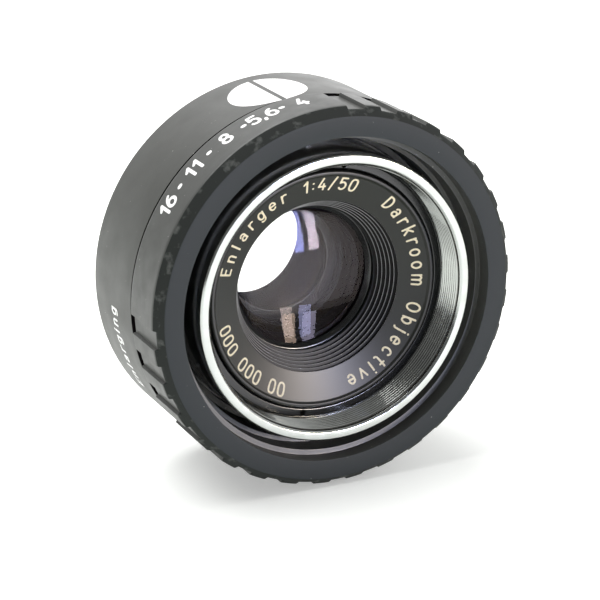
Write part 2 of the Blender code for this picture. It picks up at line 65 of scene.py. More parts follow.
# ---- places read from the frame --------------------------------------------
RIM_LOW, RIM_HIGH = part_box("filter_ring")
FRONT_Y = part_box("aperture_ring")[0].y
AXIS = Vector((0.0, 0.0, (RIM_LOW.z + RIM_HIGH.z) / 2))
SEAT_MM = (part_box("rear_barrel")[1].y - FRONT_Y) / MM
MOUNT_MM, MOUNT_END_MM = ((corner.y - FRONT_Y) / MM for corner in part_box("mount_ring"))
RIM_MM = (RIM_LOW.y - FRONT_Y) / MM
RIM_R_MM = (RIM_HIGH.x - RIM_LOW.x) / 2 / MM + 0.07

# ---- sizes that the neighbouring pieces share ------------------------------
RING_R_MM = 25.25
BARREL_R_MM = 24.95
RING_END_MM = 8.3          # end of the fluted rim, where the barrel begins
SEAM_MM = 0.05             # hairline between ring and barrel
GROOVE_MM = 0.85           # shadow groove that the barrel starts with
FILTER_BORE_MM = 17.72     # radius at the roots of the filter thread
MOUNT_ROOT_MM = 18.95      # radius at the roots of the mount thread

# ---- aperture scale and marks ----------------------------------------------
STOP_PITCH = 12.5          # ring angle for one stop
WIDE_OPEN_ANGLE = -6.4     # where the 4 stands at rest
SCALE_DEPTH_MM = 5.68
SCALE_NARROWING = 0.92     # the figures are this much narrower than the plain lettering
INDEX_ANGLE = -8.2
INDEX_DEPTH_MM = 14.3
INDEX_R_MM = 5.2
INDEX_LINE_MM = 0.33       # half the width of the line that splits the index

# ---- word on the barrel's side ---------------------------------------------
WORD_ANGLE = -108.0
WORD_DEPTH_MM = 14.7

# ---- grip flutes -----------------------------------------------------------
FLUTES = 25
FLUTE_FIRST = 3.0
FLUTE_PITCH = 10.84
FLUTE_WIDTH = 5.7
FLUTE_WALL = 0.30          # ring angle that a flute's wall takes up
FLUTE_LEAD = 0.15          # share of the pitch that is counted ahead of a flute

# ---- dished name ring ------------------------------------------------------
DISH_OUTER_MM = (4.9, 15.2)    # depth and radius where the dish starts
DISH_INNER_MM = (6.4, 11.6)    # depth and radius where the baffle starts
BAFFLE_END_MM = (10.0, 9.85)
BAFFLE_RIDGES = 6
LETTER_CIRCLE_MM = 14.1

# ---- holes in the front lock ring, for its wrench --------------------------
HOLE_ANGLES = (-170.0, 10.0)
HOLE_CIRCLE_MM = 16.7
HOLE_R_MM = 0.42
HOLE_DEPTH_MM = 1.3


# ---- settings that a user would change -------------------------------------
def length_setting(name, description, default, precision=5):
    """A property for a length in metres."""
    return bpy.props.FloatProperty(name=name, description=description, default=default,
                                   unit="LENGTH", precision=precision)


def colour_setting(name, description, default):
    """A property for a colour."""
    return bpy.props.FloatVectorProperty(name=name, description=description, default=default,
                                         subtype="COLOR", size=3, min=0, max=1)


def angle_setting(name, description, degrees):
    """A property for an angle."""
    return bpy.props.FloatProperty(name=name, description=description, default=radians(degrees),
                                   subtype="ANGLE")


class LensSizes(bpy.types.PropertyGroup):
    """Sizes of the details that only the visible surfaces carry."""
    flute_depth: length_setting("Flute depth", "How deep the grip flutes are cut", 0.5 * MM)
    corner: length_setting("Corner radius", "Rounding of the moulded corners", 0.12 * MM)
    filter_pitch: length_setting(
        "Filter thread pitch", "Distance between turns of the filter thread", 0.5 * MM)
    mount_pitch: length_setting(
        "Mount thread pitch", "Distance between turns of the M39 thread", 0.977 * MM)
    scale_height: length_setting("Scale figure height", "Height of the f-number figures", 2.5 * MM)
    letter_height: length_setting("Letter height", "Capital height on the name ring", 1.75 * MM)
    print_height: length_setting(
        "Print thickness", "How far the printed marks stand proud", 0.012 * MM, precision=6)


class LensColours(bpy.types.PropertyGroup):
    """Colours of the finishes."""
    barrel: colour_setting("Barrel black", "Satin black of the barrel", (0.038, 0.040, 0.035))
    ring: colour_setting("Ring black", "Black of the aperture ring", (0.038, 0.040, 0.036))
    chrome: colour_setting("Chrome", "Bright filter ring", (0.47, 0.49, 0.47))
    name_ring: colour_setting("Name ring black", "Anodised name ring", (0.016, 0.018, 0.014))
    letters: colour_setting("Letter cream", "Filled lettering", (0.90, 0.80, 0.58))
    marks: colour_setting("Mark white", "Printed scale and index", (0.93, 0.93, 0.92))


class StageSettings(bpy.types.PropertyGroup):
    """Floor, light and camera."""
    floor: colour_setting("Floor", "Pale floor colour", (0.92, 0.94, 0.91))
    azimuth: angle_setting("Camera azimuth", "Camera to the left of the axis", -26.5)
    elevation: angle_setting("Camera elevation", "Camera above the axis", 19.2)
    distance: length_setting("Camera distance", "From the middle of the front face", 0.301)
    focal: bpy.props.FloatProperty(
        name="Focal length", description="Camera lens in millimetres", default=142.4)


# ---- surfaces --------------------------------------------------------------
def lens_points(depth_mm, radius_mm, angle):
    """Points at depths, radii and clock angles (radians), as one (..., 3) array.

    x = r sin a, y = front + depth, z = axis height + r cos a.
    """
    depth, radius, angle = np.broadcast_arrays(depth_mm, radius_mm, angle)
    x = AXIS.x + radius * np.sin(angle) * MM
    y = FRONT_Y + depth * MM
    z = AXIS.z + radius * np.cos(angle) * MM
    return np.stack([x, y, z], axis=-1)


def enclosed_volume(verts, quads):
    """Signed volume: a sixth of the sum of each quad's centre dotted with its normal."""
    a, b, c, d = (verts[quads[:, i]] for i in range(4))
    normal = np.cross(c - a, d - b)
    middle = (a + b + c + d) / 4 - verts.mean(axis=0)
    return float((middle * normal).sum()) / 6


def mesh_object(name, verts, quads, merge=0.0):
    """A smooth-shaded object from arrays, faces out, with doubles merged if asked."""
    if enclosed_volume(verts, quads) < 0:
        quads = quads[:, ::-1]
    mesh = bpy.data.meshes.new(name)
    mesh.vertices.add(len(verts))
    mesh.vertices.foreach_set("co", np.ascontiguousarray(verts, np.float32).ravel())
    mesh.loops.add(quads.size)
    mesh.loops.foreach_set("vertex_index", np.ascontiguousarray(quads, np.int32).ravel())
    mesh.polygons.add(len(quads))
    mesh.polygons.foreach_set("loop_start", np.arange(0, quads.size, 4, dtype=np.int32))
    mesh.update(calc_edges=True)
    if merge:
        bm = bmesh.new()
        bm.from_mesh(mesh)
        bmesh.ops.remove_doubles(bm, verts=bm.verts, dist=merge)
        bm.to_mesh(mesh)
        bm.free()
    mesh.validate()
    mesh.shade_smooth()
    item = bpy.data.objects.new(name, mesh)
    bpy.context.scene.collection.objects.link(item)
    return item


def sharpen(item, degrees):
    """Split the shading at edges sharper than the given angle."""
    item.data.set_sharp_from_angle(angle=radians(degrees))
    return item


def grid_quads(rows, columns, wrap_rows, wrap_columns):
    """Corner numbers of the quads between the rows and columns of a grid."""
    i = np.arange(rows if wrap_rows else rows - 1)
    j = np.arange(columns if wrap_columns else columns - 1)
    i, j = (a.ravel() for a in np.meshgrid(i, j, indexing="ij"))
    near, far = (i + 1) % rows, (j + 1) % columns
    return np.stack([i * columns + j, i * columns + far, near * columns + far,
                     near * columns + j], axis=1)


def full_turn(steps):
    """Clock angles of a full turn, in radians."""
    return np.linspace(0.0, 2 * pi, steps, endpoint=False)


def soft_loop(corners, radius, steps=4):
    """Closed outline with its corners rounded.

    Each corner P becomes the curve (1-s)^2 A + 2s(1-s) P + s^2 B, where A and B
    lie on the two sides at the rounding distance from P, or at 45% of a short side.
    """
    p = np.asarray(corners, float)
    back = np.roll(p, 1, axis=0) - p
    ahead = np.roll(p, -1, axis=0) - p
    back_length = np.linalg.norm(back, axis=1)[:, None]
    ahead_length = np.linalg.norm(ahead, axis=1)[:, None]
    reach = np.broadcast_to(np.asarray(radius, float), len(p))[:, None]
    a = p + back / back_length * np.minimum(reach, 0.45 * back_length)
    b = p + ahead / ahead_length * np.minimum(reach, 0.45 * ahead_length)
    s = np.linspace(0, 1, steps)[None, :, None]
    curve = (1 - s) ** 2 * a[:, None] + 2 * s * (1 - s) * p[:, None] + s ** 2 * b[:, None]
    return curve.reshape(-1, 2)


def swept(name, depth_mm, radius_mm, angle, closed=True):
    """Outline rows carried round the columns of clock angles.

    An open outline runs from axis to axis, and its doubles at both poles are merged.
    """
    points = lens_points(depth_mm, radius_mm, angle)
    quads = grid_quads(*points.shape[:2], closed, True)
    return mesh_object(name, points.reshape(-1, 3), quads, merge=0.0 if closed else 1e-8)


def turned(name, outline, steps, closed=True):
    """A (depth, radius) outline carried once round the lens axis."""
    depth, radius = np.asarray(outline).T
    return swept(name, depth[:, None], radius[:, None], full_turn(steps)[None, :], closed)


def smooth_step(x):
    """0 below 0, 1 above 1, 3x^2 - 2x^3 between."""
    x = np.clip(x, 0, 1)
    return x * x * (3 - 2 * x)


# ---- lettering -------------------------------------------------------------
def line(*xy):
    """A run of straight strokes through x, y pairs."""
    return np.array(xy, float).reshape(-1, 2)


def arc(cx, cy, rx, ry, start, end, steps=18):
    """Part of an ellipse: centre + (rx cos t, ry sin t), t in degrees."""
    t = np.radians(np.linspace(start, end, steps))
    return np.stack([cx + rx * np.cos(t), cy + ry * np.sin(t)], axis=1)


def squared_loop(cx, cy, rx, ry, steps=36):
    """A rounded oblong: the ellipse with its sine and cosine raised to the power 0.7."""
    t = np.linspace(0, 2 * pi, steps)
    c, s = np.cos(t), np.sin(t)
    x = cx + rx * np.sign(c) * np.abs(c) ** 0.7
    y = cy + ry * np.sign(s) * np.abs(s) ** 0.7
    return np.stack([x, y], axis=1)


def dot(x, y):
    """A single point, which the pen makes round."""
    return line(x, y, x + 0.001, y)


def glyph(char):
    """(width, strokes) of one engraved character, for a capital height of 1."""
    stem = line(0.06, 0, 0.06, 0.7)
    shapes = {
        " ": (0.42, []),
        "0": (0.56, [squared_loop(0.28, 0.5, 0.25, 0.5)]),
        "1": (0.42, [line(0.08, 0.74, 0.32, 1.0, 0.32, 0.0)]),
        "4": (0.58, [line(0.34, 1.0, 0.03, 0.27, 0.56, 0.27), line(0.42, 0.5, 0.42, 0.0)]),
        "5": (0.56, [line(0.50, 1.0, 0.10, 1.0, 0.06, 0.55),
                     arc(0.27, 0.32, 0.27, 0.32, 125, -140)]),
        "6": (0.58, [arc(0.29, 0.31, 0.26, 0.31, 0, 360, 28),
                     arc(0.52, 0.31, 0.49, 0.69, 108, 180)]),
        "8": (0.56, [arc(0.28, 0.75, 0.21, 0.25, 0, 360, 26),
                     arc(0.28, 0.26, 0.26, 0.26, 0, 360, 28)]),
        ":": (0.22, [dot(0.1, 0.2), dot(0.1, 0.68)]),
        "/": (0.50, [line(0.04, -0.05, 0.46, 1.05)]),
        ",": (0.20, [line(0.10, 0.04, 0.05, -0.16)]),
        "E": (0.52, [line(0.50, 1, 0.07, 1, 0.07, 0, 0.50, 0), line(0.07, 0.52, 0.42, 0.52)]),
        "D": (0.62, [np.vstack([line(0.07, 0, 0.07, 1, 0.24, 1), arc(0.24, 0.5, 0.33, 0.5, 90, -90),
                                line(0.07, 0)])]),
        "O": (0.68, [arc(0.34, 0.5, 0.31, 0.5, 0, 360, 36)]),
        "a": (0.54, [line(0.47, 0, 0.47, 0.46), arc(0.27, 0.46, 0.20, 0.24, 0, 150),
                     arc(0.26, 0.20, 0.21, 0.20, 0, 360, 24)]),
        "b": (0.56, [line(0.06, 0, 0.06, 1), arc(0.29, 0.35, 0.23, 0.35, 0, 360, 26)]),
        "c": (0.50, [arc(0.30, 0.35, 0.25, 0.35, 50, 310, 24)]),
        "e": (0.56, [line(0.04, 0.37, 0.52, 0.37), arc(0.28, 0.35, 0.245, 0.35, 4, 318, 26)]),
        "g": (0.56, [arc(0.27, 0.35, 0.23, 0.35, 0, 360, 26), line(0.50, 0.70, 0.50, -0.10),
                     arc(0.28, -0.10, 0.22, 0.19, 0, -145)]),
        "i": (0.20, [line(0.09, 0, 0.09, 0.7), dot(0.09, 0.96)]),
        "j": (0.24, [line(0.14, 0.7, 0.14, -0.12), arc(0.0, -0.12, 0.14, 0.17, 0, -80),
                     dot(0.14, 0.96)]),
        "k": (0.52, [line(0.06, 0, 0.06, 1), line(0.46, 0.70, 0.08, 0.27),
                     line(0.20, 0.40, 0.49, 0)]),
        "l": (0.20, [line(0.09, 1, 0.09, 0)]),
        "m": (0.86, [stem, arc(0.245, 0.46, 0.185, 0.24, 180, 0), line(0.43, 0.46, 0.43, 0),
                     arc(0.615, 0.46, 0.185, 0.24, 180, 0), line(0.80, 0.46, 0.80, 0)]),
        "n": (0.54, [stem, arc(0.27, 0.45, 0.21, 0.25, 180, 0), line(0.48, 0.45, 0.48, 0)]),
        "o": (0.56, [arc(0.28, 0.35, 0.245, 0.35, 0, 360, 28)]),
        "r": (0.38, [stem, arc(0.30, 0.40, 0.24, 0.30, 180, 62)]),
        "t": (0.40, [line(0.18, 0.98, 0.18, 0.22), arc(0.34, 0.22, 0.16, 0.22, 180, 285),
                     line(0.02, 0.70, 0.36, 0.70)]),
        "v": (0.50, [line(0.02, 0.70, 0.25, 0.0, 0.48, 0.70)]),
    }
    return shapes[char]


def pen_distance(x, y, starts, ends, half_width):
    """Distance from points to the nearest stroke, less half the pen width, and the
    direction away from it."""
    p = np.stack([x, y], axis=-1)[..., None, :]
    along = ends - starts
    length2 = np.maximum((along ** 2).sum(-1), 1e-12)
    share = np.clip(((p - starts) * along).sum(-1) / length2, 0, 1)
    gap = p - (starts + share[..., None] * along)
    distance = np.sqrt((gap ** 2).sum(-1))
    nearest = distance.argmin(-1)
    best = np.take_along_axis(distance, nearest[..., None], -1)[..., 0]
    away = np.take_along_axis(gap, nearest[..., None, None], -2)[..., 0, :]
    return best - half_width, away / np.maximum(best, 1e-9)[..., None]


def flat_plate(starts, ends, half_width, cell):
    """Corners and quads of a flat shape drawn by a round pen.

    The plane is laid out in square cells; a cell is kept if a corner is under
    the pen, and corners outside are drawn in along the shortest way to its edge.
    """
    low = np.minimum(starts, ends).min(0) - half_width - 2 * cell
    high = np.maximum(starts, ends).max(0) + half_width + 2 * cell
    counts = np.ceil((high - low) / cell).astype(int) + 1
    x, y = np.meshgrid(*(low[k] + cell * np.arange(counts[k]) for k in (0, 1)), indexing="ij")
    distance, away = pen_distance(x, y, starts, ends, half_width)
    edge = -0.25 * cell
    inside = distance < edge
    kept = inside[:-1, :-1] | inside[1:, :-1] | inside[:-1, 1:] | inside[1:, 1:]
    pull = np.where(distance > edge, distance, 0.0)[..., None] * away
    points = np.stack([x, y], axis=-1) - pull
    columns = counts[1]
    i, j = np.nonzero(kept)
    quads = np.stack([i * columns + j, (i + 1) * columns + j, (i + 1) * columns + j + 1,
                      i * columns + j + 1], axis=1)
    return points.reshape(-1, 2), quads


def thick_plate(points, quads):
    """Close a flat shape into a plate: top, bottom and a wall along its outline.

    Returns (u, v, side) rows, with side 1 on top and 0 below, and the quads.
    """
    used, inverse = np.unique(quads, return_inverse=True)
    quads = inverse.reshape(quads.shape)
    flat = points[used]
    count = len(flat)
    top = np.column_stack([flat, np.ones(count)])
    below = np.column_stack([flat, np.zeros(count)])
    edges = np.concatenate([quads[:, [i, (i + 1) % 4]] for i in range(4)])
    key = np.sort(edges, axis=1)
    _, first, times = np.unique(key, axis=0, return_index=True, return_counts=True)
    rim = edges[first[times == 1]]
    wall = np.stack([rim[:, 1], rim[:, 0], rim[:, 0] + count, rim[:, 1] + count], axis=1)
    return np.vstack([top, below]), np.vstack([quads, quads[:, ::-1] + count, wall])


def pen_plate(strokes, pen, cell):
    """The plate that a round pen of the given width draws along the strokes."""
    starts = np.vstack([stroke[:-1] for stroke in strokes])
    ends = np.vstack([stroke[1:] for stroke in strokes])
    return thick_plate(*flat_plate(starts, ends, pen / 2, cell))


def join_plates(parts):
    """Stack several (vertices, quads) pairs into one pair."""
    offsets = np.cumsum([0] + [len(v) for v, _ in parts[:-1]])
    verts = np.vstack([v for v, _ in parts])
    quads = np.vstack([q + o for (_, q), o in zip(parts, offsets)])
    return verts, quads


def word_plates(text, height, pen, spacing, cell):
    """Plates of a whole word, centred on u = 0, standing on v = 0, in mm."""
    widths = [glyph(char)[0] * height + spacing for char in text]
    left = -(sum(widths) - spacing) / 2
    parts = []
    for char, width in zip(text, widths):
        strokes = [stroke * height + (left, 0.0) for stroke in glyph(char)[1]]
        if strokes:
            parts.append(pen_plate(strokes, pen, cell))
        left += width
    return join_plates(parts)


def on_barrel(plates, angle, depth_mm, radius_mm, rise_mm):
    """Wrap plates round a cylinder: u runs clockwise and v towards the rear.

    The top stands proud by the rise and the bottom is sunk by the same amount.
    """
    u, v, side = plates.T
    radius = radius_mm + rise_mm * (2 * side - 1)
    return lens_points(depth_mm + v, radius, radians(angle) + u / radius_mm)


def on_dish(plates, angle, rise_mm):
    """Lay plates on the dished ring: u runs clockwise round the letter circle and v
    outwards up the slope."""
    u, v, side = plates.T
    depth_span = DISH_INNER_MM[0] - DISH_OUTER_MM[0]
    radius_span = DISH_OUTER_MM[1] - DISH_INNER_MM[1]
    slope = np.hypot(depth_span, radius_span)
    radius = LETTER_CIRCLE_MM + v * radius_span / slope
    depth = DISH_OUTER_MM[0] + (DISH_OUTER_MM[1] - radius) * depth_span / radius_span
    lift = rise_mm * (2 * side - 1)
    depth = depth - lift * radius_span / slope
    radius = radius - lift * depth_span / slope
    return lens_points(depth, radius, radians(angle) + u / LETTER_CIRCLE_MM)


# ---- materials -------------------------------------------------------------
def add_node(tree, kind, **values):
    """A shader node; each value is a constant or a link for the input of that name."""
    node = tree.nodes.new("ShaderNode" + kind)
    for key, value in values.items():
        socket = node.inputs[key.replace("_", " ")]
        if isinstance(value, bpy.types.NodeSocket):
            tree.links.new(value, socket)
        else:
            socket.default_value = value
    return node


class Finish:
    """A Principled material with helpers for the patterns that it is given.

    The helpers that end in a pattern return the finish, so they can be chained.
    Their sizes and heights are in millimetres.
    """

    def __init__(self, name, colour, roughness, metallic=0.0, specular=0.5):
        self.material = bpy.data.materials.new(name)
        self.material.use_nodes = True
        self.material.diffuse_color = (*colour, 1.0)
        self.tree = self.material.node_tree
        self.shader = self.tree.nodes["Principled BSDF"]
        self.colour = colour
        self.set("Base Color", (*colour, 1.0))
        self.set("Roughness", roughness)
        self.set("Metallic", metallic)
        self.set("Specular IOR Level", specular)
        where = add_node(self.tree, "TexCoord").outputs["Object"]
        centre = add_node(self.tree, "Mapping", Vector=where, Location=(0.0, -FRONT_Y, -AXIS.z))
        self.place = centre.outputs["Vector"]
        self.normal = None

    def set(self, name, value):
        """Set a constant on the shader."""
        self.shader.inputs[name].default_value = value

    def link(self, source, name):
        """Let a pattern drive one of the shader's inputs."""
        self.tree.links.new(source, self.shader.inputs[name])
        return self

    def noise(self, size, detail, stretch=None):
        """Noise whose features are about `size` across."""
        source = self.place
        if stretch:
            source = add_node(self.tree, "Mapping", Vector=source, Scale=stretch).outputs["Vector"]
        noise = add_node(self.tree, "TexNoise", Vector=source, Scale=1.0 / (size * MM),
                         Detail=detail)
        return noise.outputs["Fac"]

    def groove(self):
        """How far down a groove a point lies, from the attribute that mark_grooves stores."""
        layer = add_node(self.tree, "Attribute")
        layer.attribute_name = "groove"
        return layer.outputs["Fac"]

    def bump(self, source, strength, height):
        """A bump from a pattern, on top of any earlier one."""
        bump = add_node(self.tree, "Bump", Height=source, Strength=strength,
                        Distance=height * MM)
        if self.normal:
            self.tree.links.new(self.normal, bump.inputs["Normal"])
        self.normal = bump.outputs["Normal"]
        return self.link(self.normal, "Normal")

    def grain(self, size, detail, strength, height):
        """A bumpy grain."""
        return self.bump(self.noise(size, detail), strength, height)

    def turning(self, size, distortion, strength, height):
        """Turning marks: low rings about the lens axis, one at every `size`."""
        wave = add_node(self.tree, "TexWave", Vector=self.place, Scale=pi / 10 / (size * MM),
                        Distortion=distortion, Detail=2.0)
        wave.wave_type = "RINGS"
        wave.rings_direction = "Y"
        return self.bump(wave.outputs["Fac"], strength, height)

    def rub(self, low, high, *noise):
        """Roughness that wanders between two values."""
        spread = add_node(self.tree, "MapRange", Value=self.noise(*noise), From_Min=0.3,
                          From_Max=0.7, To_Min=low, To_Max=high)
        return self.link(spread.outputs["Result"], "Roughness")

    def tones(self, source, *stops):
        """Colour by a pattern, through (position, colour) stops."""
        ramp = add_node(self.tree, "ValToRGB", Fac=source)
        elements = ramp.color_ramp.elements
        for element, (position, colour) in zip(elements, (stops[0], stops[-1])):
            element.position = position
            element.color = (*colour, 1.0)
        for position, colour in stops[1:-1]:
            elements.new(position).color = (*colour, 1.0)
        return self.link(ramp.outputs["Color"], "Base Color")

    def mottle(self, size, detail, other, low, high):
        """Patches of another colour where a noise is high."""
        return self.tones(self.noise(size, detail), (low, self.colour), (high, other))

    def dust(self):
        """A few pale specks of dust."""
        return self.mottle(0.35, 1.0, (0.35, 0.35, 0.33), 0.785, 0.82)


def chosen(key):
    """The colour that is set for a finish in the sidebar."""
    return tuple(getattr(bpy.context.scene.lens_colours, key))


def barrel_finish():
    """Satin black moulded plastic with a fine grain and a soft grey sheen."""
    finish = Finish("satin_barrel", chosen("barrel"), 0.46, specular=0.6)
    return finish.grain(0.12, 4.0, 0.25, 0.02).rub(0.40, 0.52, 4.0, 5.0).dust()


def ring_finish():
    """Black of the grip ring's rim, a little finer, with rubbed patches."""
    finish = Finish("satin_ring", chosen("ring"), 0.46, specular=0.6)
    return finish.grain(0.10, 4.0, 0.22, 0.015).rub(0.40, 0.54, 2.2, 6.0).dust()


def ring_face_finish():
    """Slightly blue, duller black of the grip ring's flat face."""
    finish = Finish("ring_face_black", (0.040, 0.046, 0.050), 0.55, specular=0.10)
    return finish.grain(0.10, 4.0, 0.15, 0.012).dust()


def ring_chamfer_finish():
    """Rough dull black of the grip ring's slope, darker than the rim as painted shade, rubbed in
    places.
    """
    finish = Finish("ring_slope_black", (0.024, 0.027, 0.025), 0.7, specular=0.1)
    return finish.grain(0.16, 5.0, 0.5, 0.03).mottle(1.6, 8.0, (0.10, 0.105, 0.10), 0.56, 0.72)


def chrome_finish():
    """Bright turned metal with fine rings, darkened towards the thread roots as painted shade."""
    finish = Finish("bright_chrome", chosen("chrome"), 0.16, metallic=1.0)
    finish.turning(0.05, 0.6, 0.25, 0.004).rub(0.10, 0.26, 1.2, 5.0)
    # Painted shade: the colour darkens from chrome to dark grey towards the thread roots.
    return finish.tones(finish.groove(), (0.35, finish.colour), (0.75, (0.16, 0.16, 0.15)))


def mount_finish():
    """Bright mount metal, slightly duller than the filter ring, darkened towards the thread roots
    as painted shade.
    """
    finish = Finish("mount_metal", (0.70, 0.70, 0.67), 0.22, metallic=1.0)
    finish.turning(0.06, 0.5, 0.2, 0.004).rub(0.16, 0.34, 1.0, 5.0)
    # Painted shade: the colour darkens from metal to near black towards the thread roots.
    return finish.tones(finish.groove(), (0.5, finish.colour), (1.0, (0.10, 0.10, 0.09)))


def name_ring_finish():
    """Fine satin black anodising, with faint turning marks."""
    finish = Finish("anodised_name_ring", chosen("name_ring"), 0.42, specular=0.33)
    return finish.turning(0.09, 0.4, 0.10, 0.004).grain(0.06, 4.0, 0.15, 0.008)


def baffle_finish():
    """Dull black of the ridged cone, with a painted highlight on the crests and painted shade in
    the valleys.
    """
    finish = Finish("baffle_black", (0.022, 0.024, 0.022), 0.55, specular=0.2)
    # Painted highlight on the ridge crests and painted shade in the valleys, set by the stored
    # groove value.
    return finish.tones(finish.groove(), (0.05, (0.42, 0.42, 0.43)), (0.45, finish.colour),
                        (0.65, (0.002, 0.002, 0.002)))


def gloss_black_finish(name="gloss_black_metal"):
    """Polished black metal of the retaining rings and the hub."""
    return Finish(name, (0.012, 0.013, 0.013), 0.22, specular=0.6).turning(0.08, 0.5, 0.12, 0.005)


def matt_black_finish(name="matt_black_cell"):
    """Matt black of the cells and the glass edges, and painted shade in the shadow groove."""
    finish = Finish(name, (0.006, 0.005, 0.006), 1.0, specular=0.0)
    return finish.mottle(0.8, 3.0, (0.014, 0.011, 0.012), 0.45, 0.7)


def bronze_finish():
    """Dark bronze varnish of the rear cell and the iris plates."""
    return Finish("dark_bronze", (0.008, 0.0055, 0.002), 0.6, specular=0.0).rub(0.5, 0.7, 1.5, 3.0)


def blade_finish():
    """Blackened spring steel of the iris blades."""
    finish = Finish("blackened_steel", (0.035, 0.035, 0.038), 0.42, metallic=0.6)
    return finish.bump(finish.noise(0.2, 3.0, (1.0, 1.0, 6.0)), 0.2, 0.004)


def steel_finish():
    """Plain steel of screws, ball and spring."""
    return Finish("plain_steel", (0.60, 0.60, 0.61), 0.25, metallic=1.0).rub(0.2, 0.36, 0.4, 3.0)


def print_finish():
    """White printing ink, very slightly uneven."""
    finish = Finish("white_print", chosen("marks"), 0.5)
    return finish.mottle(0.5, 3.0, (0.84, 0.84, 0.83), 0.62, 0.8)


def letter_finish():
    """Cream paint in the engraved letters."""
    finish = Finish("cream_fill", chosen("letters"), 0.55)
    return finish.mottle(0.35, 3.0, (0.62, 0.50, 0.28), 0.55, 0.8)


def glass_finish(name, tint, shine):
    """Polished, faintly wiped glass; tint and shine set what its coating reflects."""
    finish = Finish(name, (1.0, 1.0, 1.0), 0.0)
    finish.set("Transmission Weight", 1.0)
    finish.set("IOR", 1.52)
    finish.set("Specular Tint", (*(shine * part for part in tint), 1.0))
    return finish.rub(0.0, 0.004, 2.5, 1.0, (1.0, 1.0, 3.0))


def give(item, finish, body, slot, *nodes):
    """Dress a piece, let it ride and hide the CAD parts that it stands for."""
    item.data.materials.clear()
    item.data.materials.append(finish.material)
    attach(item, body)
    if nodes:
        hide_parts(*nodes)


def lay_print(name, points, quads, finish, body, slot):
    """Marks or letters as one piece of their own, which stands for no CAD node."""
    give(sharpen(mesh_object(name, points, quads), 50), finish, body, slot)


def paint_where(item, finish, test):
    """Give a second finish to the faces whose (depth, radius) pass the test."""
    mesh = item.data
    centre = np.empty(len(mesh.polygons) * 3, np.float32)
    mesh.polygons.foreach_get("center", centre)
    x, y, z = centre.reshape(-1, 3).T
    radius = np.hypot(x - AXIS.x, z - AXIS.z) / MM
    chosen = test((y - FRONT_Y) / MM, radius)
    slots = np.empty(len(mesh.polygons), np.int32)
    mesh.polygons.foreach_get("material_index", slots)
    slots[chosen] = len(mesh.materials)
    mesh.materials.append(finish.material)
    mesh.polygons.foreach_set("material_index", slots)


def mark_grooves(item, depth_of_groove):
    """Store how far down a groove each vertex lies, 0 on the crest and 1 in the root."""
    layer = item.data.attributes.new("groove", "FLOAT", "POINT")
    layer.data.foreach_set("value", np.ascontiguousarray(depth_of_groove, np.float32).ravel())


# ---- pieces ----------------------------------------------------------------
def ring_outline(corner_mm):
    """Outline of the aperture ring, with extra points on the fluted side."""
    corners = [(0.0, 21.5), (0.0, 24.08), (1.25, RING_R_MM), (RING_END_MM, RING_R_MM),
               (RING_END_MM, 23.1), (11.5, 23.1), (11.5, 19.3), (10.3, 19.3), (10.3, 20.2),
               (5.2, 20.2), (5.2, 20.8), (2.2, 20.8), (2.2, 21.5)]
    rounding = [0.06, 0.12, 0.25, corner_mm, 0.1, 0.1, 0.1, 0.1, 0.1, 0.07, 0.1, 0.07, 0.1]
    loop = soft_loop(corners, rounding)
    return fill_gaps(loop, 0.35, lambda depth, radius: radius > 23.9)


def fill_gaps(loop, step, where):
    """Add evenly spaced points on long sides where the test holds."""
    after = np.roll(loop, -1, axis=0)
    out = []
    for a, b in zip(loop, after):
        length = float(np.hypot(*(b - a)))
        middle = (a + b) / 2
        count = int(length / step) + 1 if where(*middle) else 1
        out.append(a + (b - a) * (np.arange(count) / count)[:, None])
    return np.vstack(out)


def flute_columns():
    """Clock angles, in degrees, dense at the flute walls and even elsewhere."""
    starts = FLUTE_FIRST + FLUTE_PITCH * np.arange(FLUTES)
    wall = np.array([-0.30, -0.20, -0.12, -0.04, 0.04, 0.12, 0.20, 0.30])
    walls = np.concatenate([starts[:, None] + wall, starts[:, None] + FLUTE_WIDTH + wall])
    floors = starts[:, None] + FLUTE_WIDTH * np.array([0.2, 0.4, 0.6, 0.8])
    gap = FLUTE_PITCH - FLUTE_WIDTH
    lands = starts[:-1, None] + FLUTE_WIDTH + gap * np.array([0.2, 0.4, 0.6, 0.8])
    last = starts[-1] + FLUTE_WIDTH + 1.0
    plain = np.arange(last, FLUTE_FIRST + 360.0 - 0.7, 1.0)
    return np.sort(np.concatenate([walls.ravel(), floors.ravel(), lands.ravel(), plain]))


def flute_cap(angle, depth_mm):
    """Largest radius left by the flutes at each clock angle.

    The ring's radius, less the flute depth where the angle, counted from the first
    flute and folded by the pitch, lies within the flute's width.
    """
    count = (angle - FLUTE_FIRST) / FLUTE_PITCH + FLUTE_LEAD
    inside = (np.floor(count) < FLUTES) & (np.floor(count) >= 0)
    folded = (count % 1.0 - FLUTE_LEAD) * FLUTE_PITCH + FLUTE_WALL / 2
    rise = smooth_step(folded / FLUTE_WALL)
    rise = rise * smooth_step((FLUTE_WIDTH + FLUTE_WALL - folded) / FLUTE_WALL)
    return RING_R_MM + 0.05 - np.where(inside, rise, 0.0) * (depth_mm + 0.05)


